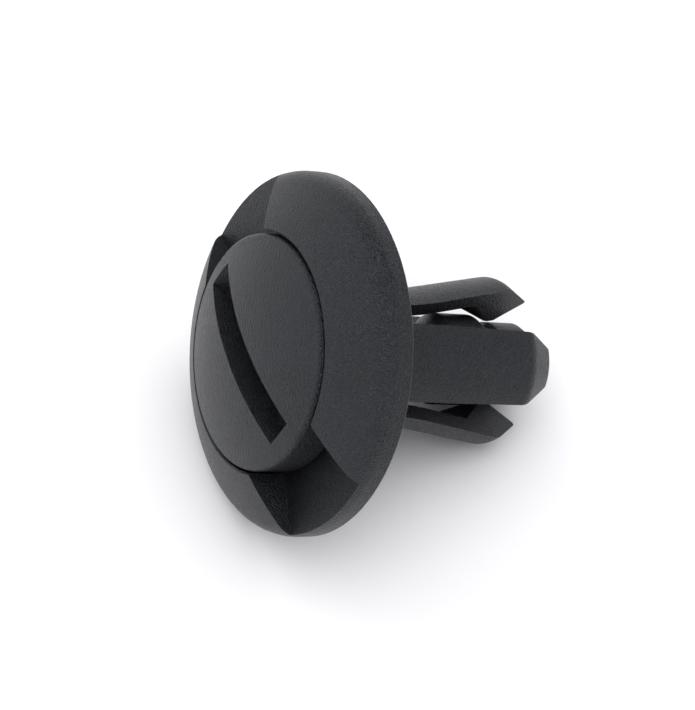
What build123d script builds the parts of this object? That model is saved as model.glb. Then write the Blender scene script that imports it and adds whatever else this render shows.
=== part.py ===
from build123d import *
import os
from math import asin, cos, hypot, radians, sin, sqrt, tan

# Plastic push rivet, in millimetres: a flanged grommet with four sprung legs, and the slotted pin
# that is pushed through it and holds the legs apart.
#
# Both pieces are modelled upright on one axis: +Z points to the head, and Z = 0 is the flat
# underside of the flange, so the legs hang below it. At the end they are laid down together, as
# the rivet comes to rest on a table: on the edge of its flange and on its two lower legs.

# Flange: a shallow dome that the pin's head completes
FLANGE_RADIUS = 10.0
RIM_HEIGHT = 1.57
RIM_ROUNDING = 1.4
RIM_BEVEL = 0.12
DOME_RADIUS = 18.0

# Seat of the pin's head, sunk into the flange
SEAT_FLOOR_HEIGHT = 1.4
SEAT_EDGE_BEVEL = 0.1

# Two notches where a blade gets under the pin's head
NOTCH_WIDTH = 6.7
NOTCH_FLARE = 4.0
NOTCH_FLOOR_HEIGHT = 0.85
NOTCH_FLOOR_RISE = 8.0
NOTCH_UNDERCUT = 0.7
NOTCH_ANGLE = 77.0

# Collar below the flange, and the four legs that it carries
COLLAR_RADIUS = 3.75
COLLAR_LENGTH = 3.6
LEG_COUNT = 4
LEG_WALL = 0.95
LEG_GAP = 1.25
LEG_SIDE_DRAFT = 1.2
LEG_BEND_LENGTH = 3.5
LEG_LEAN = 9.5
LEG_STRAIGHT = 5.2
SHOULDER_ROUNDING = 0.9

# Arrow-shaped end of a leg: a taper outside, a bulge inside
NOSE_LENGTH = 1.8
NOSE_TAPER = 38.0
TIP_BEVEL = 0.15
BULGE_HEIGHT = 1.6
BULGE_RAMP = 1.6
BULGE_LAND = 0.5
BULGE_LIFT = 0.2

# Pin head
HEAD_RADIUS = 6.45
HEAD_EDGE_ROUNDING = 0.28
DRIVER_SLOT_WIDTH = 1.9
DRIVER_SLOT_LENGTH = 10.8
DRIVER_SLOT_DEPTH = 2.0
DRIVER_SLOT_RUN_OUT = 1.1
DRIVER_SLOT_ANGLE = 87.5

# Pin shank: a neck, a thicker barrel, a groove, then the spreader between the legs and its point
NECK_RADIUS = 2.0
NECK_BEVEL = 0.3
BARREL_RADIUS = 2.62
GROOVE_RADIUS = 2.12
GROOVE_LENGTH = 0.45
GROOVE_TAPER = 32.0
SPREADER_OVERHANG = 1.45
POINT_LENGTH = 1.5
POINT_RADIUS = 1.45
POINT_BEVEL = 0.25

# How far the pin draws out before its barrel meets the end of the bore
PIN_TRAVEL = 5.0

# Clearances between the two pieces
HEAD_GAP = 0.15
SEAT_CLEARANCE = 0.04
BORE_CLEARANCE = 0.1
SPREADER_CLEARANCE = 0.05

# Taken past a surface by a cut, so that it opens cleanly
CUT_MARGIN = 1.0

# How the lie on the table is searched for, in degrees
STEEPEST_TILT = 60.0
TILT_TOLERANCE = 0.002

CROWN_HEIGHT = RIM_HEIGHT + DOME_RADIUS - sqrt(DOME_RADIUS**2 - FLANGE_RADIUS**2)
SEAT_RADIUS = HEAD_RADIUS + HEAD_GAP
BORE_RADIUS = NECK_RADIUS + BORE_CLEARANCE
HEAD_UNDERSIDE = SEAT_FLOOR_HEIGHT + SEAT_CLEARANCE

# Heights along a leg that hangs straight, before the pin leans it outwards
LEG_INNER_RADIUS = COLLAR_RADIUS - LEG_WALL
LEG_ROOT = -COLLAR_LENGTH
SHOULDER = LEG_ROOT - LEG_STRAIGHT
LEG_TIP = SHOULDER - NOSE_LENGTH
BULGE_RADIUS = LEG_INNER_RADIUS - BULGE_HEIGHT
BULGE_TOP = SHOULDER + BULGE_LIFT + BULGE_LAND / 2
BULGE_BOTTOM = BULGE_TOP - BULGE_LAND
BEND_CENTRE = COLLAR_RADIUS - LEG_WALL / 2 + LEG_BEND_LENGTH / radians(LEG_LEAN)


def leaned(x, z):
    """Where the pin's push carries a point of a leg that hangs straight down."""
    lean = radians(LEG_LEAN)
    dx, dz = x - BEND_CENTRE, z - LEG_ROOT
    return (
        BEND_CENTRE + dx * cos(lean) - dz * sin(lean),
        LEG_ROOT + dx * sin(lean) + dz * cos(lean),
    )


def room_between_bulges():
    """Radius of the round space that the leaned bulges leave at their nearest corners."""
    half_gap = LEG_GAP / 2 + (LEG_ROOT - BULGE_TOP) * tan(radians(LEG_SIDE_DRAFT))
    corner = radians(180 / LEG_COUNT) - asin(half_gap / BULGE_RADIUS)
    x, _ = leaned(BULGE_RADIUS * cos(corner), BULGE_TOP)
    return hypot(x, BULGE_RADIUS * sin(corner))


# The bore ends in a 45 degree step, where the barrel's 45 degree shoulder stops the pin
BORE_END = LEG_ROOT + LEG_INNER_RADIUS - BORE_RADIUS
NECK_END = BORE_END + BORE_CLEARANCE - SEAT_CLEARANCE - PIN_TRAVEL
BARREL_TOP = NECK_END - (BARREL_RADIUS - NECK_RADIUS)

# The spreader starts level with the bulges; the groove above it has a 45 degree lower side
SPREADER_RADIUS = room_between_bulges() - SPREADER_CLEARANCE
SPREADER_TOP = leaned(BULGE_RADIUS, BULGE_TOP)[1]
SPREADER_BOTTOM = leaned(BULGE_RADIUS, BULGE_BOTTOM)[1] - SPREADER_OVERHANG
PIN_END = SPREADER_BOTTOM - POINT_LENGTH
GROOVE_BOTTOM = SPREADER_TOP + SPREADER_RADIUS - GROOVE_RADIUS
GROOVE_TOP = GROOVE_BOTTOM + GROOVE_LENGTH
BARREL_BOTTOM = GROOVE_TOP + (BARREL_RADIUS - GROOVE_RADIUS) / tan(radians(GROOVE_TAPER))


def dome_height(radius):
    """Height of the domed face above the flange's underside."""
    return CROWN_HEIGHT - DOME_RADIUS + sqrt(DOME_RADIUS**2 - radius**2)


def dome_arc(inner, outer):
    """The dome's profile between two radii."""
    middle = (inner + outer) / 2
    return ThreePointArc(
        (inner, dome_height(inner)), (middle, dome_height(middle)), (outer, dome_height(outer))
    )


def turned(outline, roundings=(), bevels=()):
    """A solid of revolution from an outline of (radius, height), some of its corners broken."""
    profile = make_face(Wire(outline))
    for corner, rounding in roundings:
        profile = fillet(profile.vertices().sort_by_distance(corner)[0], rounding)
    for corner, bevel in bevels:
        profile = chamfer(profile.vertices().sort_by_distance(corner)[0], bevel)
    return revolve(Plane.XZ * profile, Axis.Z)


def build_flange():
    """The domed flange with the round seat, its bore still to be cut."""
    face = dome_arc(SEAT_RADIUS, FLANGE_RADIUS)
    sides = Polyline(
        (FLANGE_RADIUS, RIM_HEIGHT),
        (FLANGE_RADIUS, RIM_BEVEL),
        (FLANGE_RADIUS - RIM_BEVEL, 0),
        (0, 0),
        (0, SEAT_FLOOR_HEIGHT),
        (SEAT_RADIUS, SEAT_FLOOR_HEIGHT),
        (SEAT_RADIUS, dome_height(SEAT_RADIUS)),
    )
    rim = [((FLANGE_RADIUS, RIM_HEIGHT), RIM_ROUNDING)]
    seat_edge = [((SEAT_RADIUS, dome_height(SEAT_RADIUS)), SEAT_EDGE_BEVEL)]
    return turned([face, *sides.edges()], rim, seat_edge)


def notch_cutter():
    """Both notches: a floor that rises outwards like a cone, between two walls that flare."""
    rise = tan(radians(NOTCH_FLOOR_RISE))
    flare = tan(radians(NOTCH_FLARE))
    inner = SEAT_RADIUS - NOTCH_UNDERCUT
    outer = FLANGE_RADIUS + CUT_MARGIN
    top = CROWN_HEIGHT + CUT_MARGIN
    wedge = Polyline(
        (inner, NOTCH_FLOOR_HEIGHT - NOTCH_UNDERCUT * rise),
        (outer, NOTCH_FLOOR_HEIGHT + (outer - SEAT_RADIUS) * rise),
        (outer, top),
        (inner, top),
        close=True,
    )
    near = NOTCH_WIDTH / 2 - SEAT_RADIUS * flare
    far = near + outer * flare
    plan = make_face(Polyline((0, -near), (outer, -far), (outer, far), (0, near), close=True))
    slab = extrude(plan + Rot(0, 0, 180) * plan, top)
    return Rot(0, 0, NOTCH_ANGLE) * (turned(wedge.edges()) & slab)


def leg_sector():
    """One leg's share of the ring, centred on +X between two slots that cross on the axis."""
    half_angle = radians(180 / LEG_COUNT)
    apex = LEG_GAP / 2 / sin(half_angle)
    reach = 2 * COLLAR_RADIUS
    far = apex + reach * cos(half_angle)
    side = reach * sin(half_angle)
    return make_face(Polyline((apex, 0), (far, -side), (far, side), close=True))


def build_leg():
    """One leg as the pin holds it: bent outwards below the collar, then straight to its tip."""
    ring = Circle(COLLAR_RADIUS) - Circle(LEG_INNER_RADIUS)
    section = Pos(0, 0, LEG_ROOT) * (ring & leg_sector())
    bend = revolve(section, Axis((BEND_CENTRE, 0, LEG_ROOT), (0, -1, 0)), LEG_LEAN)

    tip_radius = COLLAR_RADIUS - NOSE_LENGTH * tan(radians(NOSE_TAPER))
    outline = Polyline(
        (COLLAR_RADIUS, LEG_ROOT),
        (COLLAR_RADIUS, SHOULDER),
        (tip_radius, LEG_TIP),
        (BULGE_RADIUS, BULGE_BOTTOM),
        (BULGE_RADIUS, BULGE_TOP),
        (LEG_INNER_RADIUS, BULGE_TOP + BULGE_RAMP),
        (LEG_INNER_RADIUS, LEG_ROOT),
        close=True,
    )
    shoulder = [((COLLAR_RADIUS, SHOULDER), SHOULDER_ROUNDING)]
    whole = turned(outline.edges(), shoulder, [((tip_radius, LEG_TIP), TIP_BEVEL)])
    root = Pos(0, 0, LEG_ROOT) * leg_sector()
    wedge = extrude(root, LEG_ROOT - LEG_TIP, dir=(0, 0, -1), taper=LEG_SIDE_DRAFT)
    straight = whole & wedge
    lean = Pos(BEND_CENTRE, 0, LEG_ROOT) * Rot(0, -LEG_LEAN, 0) * Pos(-BEND_CENTRE, 0, -LEG_ROOT)
    return bend + lean * straight


def leg_turn(number):
    """The legs stand either side of the plane through the axis that is upright at rest."""
    return Rot(0, 0, (number + 0.5) * 360 / LEG_COUNT)


def build_grommet():
    """Flange, collar and legs: one moulding, its bore's mouth bevelled to clear the pin's neck."""
    flange = build_flange() - notch_cutter()
    collar = Cylinder(COLLAR_RADIUS, COLLAR_LENGTH, align=(Align.CENTER, Align.CENTER, Align.MAX))
    bore = Polyline(
        (0, SEAT_FLOOR_HEIGHT),
        (BORE_RADIUS + NECK_BEVEL, SEAT_FLOOR_HEIGHT),
        (BORE_RADIUS, SEAT_FLOOR_HEIGHT - NECK_BEVEL),
        (BORE_RADIUS, BORE_END),
        (LEG_INNER_RADIUS, LEG_ROOT),
        (0, LEG_ROOT),
        close=True,
    )
    body = flange + collar - turned(bore.edges())
    leg = build_leg()
    for number in range(LEG_COUNT):
        body += leg_turn(number) * leg
    return body


def driver_slot_cutter():
    """Coin slot across the head, its floor flat and its two ends sloping up to the face."""
    half = DRIVER_SLOT_LENGTH / 2
    floor = CROWN_HEIGHT - DRIVER_SLOT_DEPTH
    top = CROWN_HEIGHT + CUT_MARGIN
    side = Polyline(
        (-half, top),
        (-half, dome_height(half)),
        (DRIVER_SLOT_RUN_OUT - half, floor),
        (half - DRIVER_SLOT_RUN_OUT, floor),
        (half, dome_height(half)),
        (half, top),
        close=True,
    )
    cutter = extrude(Plane.XZ * make_face(side), DRIVER_SLOT_WIDTH / 2, both=True)
    return Rot(0, 0, DRIVER_SLOT_ANGLE) * cutter


def build_pin():
    """The domed, slotted head and the shank, pushed right in."""
    face = dome_arc(0, HEAD_RADIUS)
    sides = Polyline(
        (HEAD_RADIUS, dome_height(HEAD_RADIUS)),
        (HEAD_RADIUS, HEAD_UNDERSIDE),
        (NECK_RADIUS + NECK_BEVEL, HEAD_UNDERSIDE),
        (NECK_RADIUS, HEAD_UNDERSIDE - NECK_BEVEL),
        (NECK_RADIUS, NECK_END),
        (BARREL_RADIUS, BARREL_TOP),
        (BARREL_RADIUS, BARREL_BOTTOM),
        (GROOVE_RADIUS, GROOVE_TOP),
        (GROOVE_RADIUS, GROOVE_BOTTOM),
        (SPREADER_RADIUS, SPREADER_TOP),
        (SPREADER_RADIUS, SPREADER_BOTTOM),
        (POINT_RADIUS, PIN_END),
        (0, PIN_END),
        (0, CROWN_HEIGHT),
    )
    head_edge = [((HEAD_RADIUS, dome_height(HEAD_RADIUS)), HEAD_EDGE_ROUNDING)]
    point = [((POINT_RADIUS, PIN_END), POINT_BEVEL)]
    return turned([face, *sides.edges()], head_edge, point) - driver_slot_cutter()


def laid_down(piece, tilt):
    """Turn an upright piece so that its tip points along +X and down by the tilt in degrees."""
    return Rot(0, tilt - 90, 0) * piece


def rest_tilt():
    """The tilt at which the flange's rim and the lower legs reach the table together."""
    flange = build_flange()
    lower_leg = leg_turn(LEG_COUNT // 2 - 1) * build_leg()
    low, high = 0, STEEPEST_TILT
    while high - low > TILT_TOLERANCE:
        tilt = (low + high) / 2
        rim_height = laid_down(flange, tilt).bounding_box().min.Z
        leg_height = laid_down(lower_leg, tilt).bounding_box().min.Z
        if rim_height < leg_height:
            low = tilt
        else:
            high = tilt
    return (low + high) / 2


def main():
    tilt = rest_tilt()
    pieces = {
        "grommet": laid_down(build_grommet(), tilt),
        "pin": laid_down(build_pin(), tilt),
    }
    box = pieces["grommet"].bounding_box().add(pieces["pin"].bounding_box())
    to_table = Pos(-box.center().X, -box.center().Y, -box.min.Z)
    os.makedirs("parts", exist_ok=True)
    for name, piece in pieces.items():
        export_step(to_table * piece, f"parts/{name}.step")

    axis_point = to_table.position
    print(f"tilt {tilt:.4f} degrees")
    print(f"centre of the flange's underside {axis_point.X:.5f} {axis_point.Y:.5f} {axis_point.Z:.5f}")
    print(f"size {box.size}, leg lean {LEG_LEAN} degrees, spreader radius {SPREADER_RADIUS:.4f}")


main()
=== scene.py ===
# %% [markdown]
# # A plastic push rivet
#
# A push rivet holds trim to a body panel. It is two mouldings: a grommet, which is a domed flange
# with four sprung legs below it, and a slotted pin that is pushed through it to spread the legs.
# The solids come from the CAD model as a fixed frame, so this lesson is about the finish, the light
# and the camera: how near-black plastic is made to read as plastic, not as a hole in the picture.

# %% Load the frame
from math import cos, radians, sin

import bpy
from mathutils import Matrix, Vector

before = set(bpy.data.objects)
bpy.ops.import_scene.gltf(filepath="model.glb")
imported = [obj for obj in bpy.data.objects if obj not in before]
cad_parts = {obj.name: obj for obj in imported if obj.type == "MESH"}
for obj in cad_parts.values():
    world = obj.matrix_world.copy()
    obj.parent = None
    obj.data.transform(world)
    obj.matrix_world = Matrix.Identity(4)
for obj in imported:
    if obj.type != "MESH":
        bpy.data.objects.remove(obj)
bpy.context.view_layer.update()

# %% [markdown]
# ## Two helpers
#
# Colours are given as sRGB hex values, but a shader works in linear light, so one function
# turns the one into the other. The other function adds a shader node with its settings and its
# links in one call, which keeps a long node tree readable.


# %% Colour and node
def linear(hex_colour):
    """An sRGB hex colour as the linear RGBA that a shader socket takes."""
    channels = [int(hex_colour[i : i + 2], 16) / 255 for i in (1, 3, 5)]
    return [c / 12.92 if c <= 0.04045 else ((c + 0.055) / 1.055) ** 2.4 for c in channels] + [1.0]


def add_node(tree, kind, settings=None, in_order=(), **by_name):
    """A shader node: settings are its properties, inputs are values or (node, output) links.

    Most sockets go by their name. Those of a math node share one, so they are given in_order.
    """
    node = tree.nodes.new(kind)
    for name, value in (settings or {}).items():
        setattr(node, name, value)
    pairs = [(node.inputs[place], value) for place, value in enumerate(in_order)]
    pairs += [(node.inputs[name.replace("_", " ")], value) for name, value in by_name.items()]
    for socket, value in pairs:
        if isinstance(value, tuple):
            tree.links.new(value[0].outputs[value[1]], socket)
        else:
            socket.default_value = value
    return node


MID_GREY = "#808080"
print("mid grey", MID_GREY, "is", round(linear(MID_GREY)[0], 3), "in linear light")

# %% [markdown]
# ## Moulded nylon: the grain
#
# Both mouldings are injection moulded in black nylon, from the same granulate. The mould's cavity
# is spark eroded, which leaves a fine, even grain of a few hundredths of a millimetre. It breaks a
# reflection up into a soft grey sheen, strongest where the surface turns away from the eye.
#
# An image of a grain would need its own map of the surface and would show its edges. A noise on the
# object's own coordinates needs neither and runs through the whole piece. The real grain is finer
# than a pixel of this picture, so it is drawn coarser and deeper, at about a tenth of a millimetre.
# A second, broad noise gives the faint clouds that the flow of the plastic leaves in the colour.
# The model is in metres, so a size in millimetres is turned into cycles per metre.

# %% Grain and clouds
MM = 0.001
GRAIN_MM = 0.09
GRAIN_OCTAVES = 1.0
GRAIN_FALLOFF = 0.6
CLOUD_MM = 4.0
CLOUD_OCTAVES = 2.0


def cycles_per_metre(size_mm):
    """Scale of a noise whose grains are size_mm across, on coordinates in metres."""
    return 1 / (size_mm * MM)


black_nylon = bpy.data.materials.new("black nylon from a spark-eroded mould")
black_nylon.use_nodes = True
nylon = black_nylon.node_tree
nylon.nodes.clear()
position = add_node(nylon, "ShaderNodeTexCoord")
grain = add_node(
    nylon,
    "ShaderNodeTexNoise",
    Vector=(position, "Object"),
    Scale=cycles_per_metre(GRAIN_MM),
    Detail=GRAIN_OCTAVES,
    Roughness=GRAIN_FALLOFF,
)
clouds = add_node(
    nylon,
    "ShaderNodeTexNoise",
    Vector=(position, "Object"),
    Scale=cycles_per_metre(CLOUD_MM),
    Detail=CLOUD_OCTAVES,
)
print("grain", GRAIN_MM, "mm and clouds", CLOUD_MM, "mm across")

# %% [markdown]
# ## Moulded nylon: the colour
#
# Black nylon sends back far less than one hundredth of the light as colour, with a hint of blue
# from the carbon black. One flat colour would look painted, so it speckles between two near-blacks.
#
# The two noises are mixed, with a little more of the grain than of the clouds. A mix of noises
# keeps close to its middle, so a ramp turns only the middle fifth of it into the two colours.

# %% Colour
NYLON_DARK = "#010102"
NYLON_LIGHT = "#0b0c11"
GRAIN_SHARE = 0.6
MOTTLE_RANGE = (0.4, 0.6)

mottle = add_node(
    nylon,
    "ShaderNodeMix",
    {"data_type": "FLOAT"},
    Factor=GRAIN_SHARE,
    A=(clouds, "Fac"),
    B=(grain, "Fac"),
)
colour = add_node(nylon, "ShaderNodeValToRGB", Fac=(mottle, "Result"))
for stop, at, tone in zip(colour.color_ramp.elements, MOTTLE_RANGE, (NYLON_DARK, NYLON_LIGHT)):
    stop.position = at
    stop.color = linear(tone)
    print("mix", round(stop.position, 2), "gives", tone)

# %% [markdown]
# ## Moulded nylon: gloss and bump
#
# What the eye sees of a black plastic is nearly all gloss. Here it is half matt, glossier in the
# pits of the grain than on its peaks, and a trace cooler than the light. A noise seldom leaves the
# middle two fifths of its range, so the roughness is spread over those.
#
# The grain also tilts the surface as a bump. Moving the mesh itself would need millions of faces
# for so fine a grain and would change the part's size, which a bump doesn't.

# %% Gloss and bump
NOISE_RANGE = (0.3, 0.7)
NYLON_ROUGHNESS = (0.26, 0.46)
GRAIN_HEIGHT_MM = 0.13
BUMP_STRENGTH = 1.0
NYLON_IOR = 1.53
NYLON_SHEEN_TINT = "#f3f8ff"

matt = add_node(
    nylon,
    "ShaderNodeMapRange",
    Value=(grain, "Fac"),
    From_Min=NOISE_RANGE[0],
    From_Max=NOISE_RANGE[1],
    To_Min=NYLON_ROUGHNESS[0],
    To_Max=NYLON_ROUGHNESS[1],
)
bump = add_node(
    nylon,
    "ShaderNodeBump",
    Height=(grain, "Fac"),
    Distance=GRAIN_HEIGHT_MM * MM,
    Strength=BUMP_STRENGTH,
)
plastic = add_node(
    nylon,
    "ShaderNodeBsdfPrincipled",
    Base_Color=(colour, "Color"),
    Roughness=(matt, "Result"),
    Normal=(bump, "Normal"),
    IOR=NYLON_IOR,
    Specular_Tint=linear(NYLON_SHEEN_TINT),
)
add_node(nylon, "ShaderNodeOutputMaterial", Surface=(plastic, "BSDF"))

for node in ("grommet", "pin"):
    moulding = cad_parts[node].data
    moulding.materials.clear()
    moulding.materials.append(black_nylon)
    print(node, len(moulding.polygons), "faces, finished in", black_nylon.name)

# %% [markdown]
# ## Floor
#
# Small parts like this are shot on a white sheet that runs out of the picture on every side. A
# sheet that curves up behind the part is only needed where the camera sees the horizon. This one
# looks down, so one large plane does it, with a plain matt white that leaves only the soft shadow
# to be seen.

# %% White sheet
SHEET_SIZE = 4.0
SHEET_WHITE = "#f4f4f5"
SHEET_ROUGHNESS = 0.9
SHEET_GLOSS = 0.1

bpy.ops.object.select_all(action="DESELECT")
bpy.ops.mesh.primitive_plane_add(size=SHEET_SIZE)
sheet = bpy.context.object
sheet.name = "white_sheet"
matt_card = bpy.data.materials.new("matt white card")
matt_card.use_nodes = True
card = matt_card.node_tree.nodes["Principled BSDF"]
card.inputs["Base Color"].default_value = linear(SHEET_WHITE)
card.inputs["Roughness"].default_value = SHEET_ROUGHNESS
card.inputs["Specular IOR Level"].default_value = SHEET_GLOSS
sheet.data.materials.append(matt_card)
print("white sheet", SHEET_SIZE, "m wide")

# %% [markdown]
# ## Camera
#
# The picture was taken from close above the head, looking down the rivet, with the camera a little
# tilted. Such a small part fills the frame only with a long lens from close by: here 13 cm away.
#
# A camera can be pointed at a target or turned by angles. This one is built from the direction it
# looks in and its roll about that direction, because those are what the outlines in a photograph
# give when a camera is fitted to them.

# %% Camera
CAMERA_PLACE = Vector((-0.033244, -0.064439, 0.106219))
CAMERA_FORWARD = Vector((0.25706, 0.53018, -0.80798)).normalized()
CAMERA_ROLL = 7.707
LENS_MM = 110.91
NEAREST_SEEN = 0.001
STRAIGHT_UP = Vector((0, 0, 1))

across = CAMERA_FORWARD.cross(STRAIGHT_UP).normalized()
upwards = across.cross(CAMERA_FORWARD)
level = Matrix((across, upwards, -CAMERA_FORWARD)).transposed()
tilt = Matrix.Rotation(radians(CAMERA_ROLL), 3, "Z")
camera_data = bpy.data.cameras.new("camera")
camera_data.lens = LENS_MM
camera_data.clip_start = NEAREST_SEEN
camera = bpy.data.objects.new("camera", camera_data)
camera.matrix_world = Matrix.Translation(CAMERA_PLACE) @ (level @ tilt).to_4x4()
bpy.context.scene.collection.objects.link(camera)
bpy.context.scene.camera = camera
print("camera stands", round(CAMERA_PLACE.length, 4), "m from the rivet's middle")

# %% [markdown]
# ## Light: the roof
#
# Small black parts are shot inside a light tent, a box of white cloth with the lamps outside it. A
# small lamp would draw a hard bright spot on the rim of the flange. So the roof of the tent is one
# wide panel, nearly twice as wide as it is high up, and its light shades off smoothly over every
# curve.

# %% Roof panel
CLOTH_WHITE = "#fbfbfd"
ROOF_HEIGHT = 1.0
ROOF_SIZE = 1.74
ROOF_POWER = 10.5

bpy.ops.object.light_add(type="AREA", location=(0.0, 0.0, ROOF_HEIGHT))
roof = bpy.context.object
roof.name = "roof_panel"
roof.data.size = ROOF_SIZE
roof.data.energy = ROOF_POWER
roof.data.color = linear(CLOTH_WHITE)[:3]
print("roof panel", ROOF_SIZE, "m wide at", ROOF_HEIGHT, "m, with", ROOF_POWER, "W")

# %% [markdown]
# ## Light: the cloth walls
#
# The walls glow where a lamp stands behind them: brightest on the side by the rivet's head, dimmer
# by the legs, and lower down at the back, where the glow lights the upper edges and pushes the
# shadow to the front. A lamp would have an edge and such a patch of cloth has none, so it is
# painted on the sky. Its glow fades with the angle from its middle, as the exponential of
# sharpness * (cosine - 1), which leaves a tenth of it at 48 degrees.
#
# The picture is shown in the Standard view, which leaves white white. The usual film-like view
# would turn the sheet grey.


# %% Cloth walls
def towards(height, turn):
    """The direction of a place on the sky: its height and its turn from +X, both in degrees."""
    flat = cos(radians(height))
    return [flat * cos(radians(turn)), flat * sin(radians(turn)), sin(radians(height))]


def calculate(tree, operation, *values):
    """The (node, output) link of a math node, whose inputs are values or such links."""
    return add_node(tree, "ShaderNodeMath", {"operation": operation}, values), "Value"


PATCH_SHARPNESS = 7.0
PATCHES = (
    # Place of the patch, its height, its turn and its strength.
    ("side by the head", 60, 216, 1.85),
    ("side by the legs", 60, 0, 1.24),
    ("back", 32, 112, 1.09),
)

sky = bpy.data.worlds.new("light tent")
sky.use_nodes = True
tent = sky.node_tree
direction = add_node(tent, "ShaderNodeTexCoord")
glow = 0.0
for wall, height, turn, strength in PATCHES:
    cosine = add_node(
        tent,
        "ShaderNodeVectorMath",
        {"operation": "DOT_PRODUCT"},
        [(direction, "Generated"), towards(height, turn)],
    )
    fade = calculate(tent, "MULTIPLY_ADD", (cosine, "Value"), PATCH_SHARPNESS, -PATCH_SHARPNESS)
    patch = calculate(tent, "EXPONENT", fade)
    glow = calculate(tent, "MULTIPLY_ADD", patch, strength, glow)
    print("tent glows on the", wall, "with", strength)
background = tent.nodes["Background"]
background.inputs["Color"].default_value = linear(CLOTH_WHITE)
tent.links.new(glow[0].outputs[glow[1]], background.inputs["Strength"])
bpy.context.scene.world = sky
bpy.context.scene.view_settings.view_transform = "Standard"
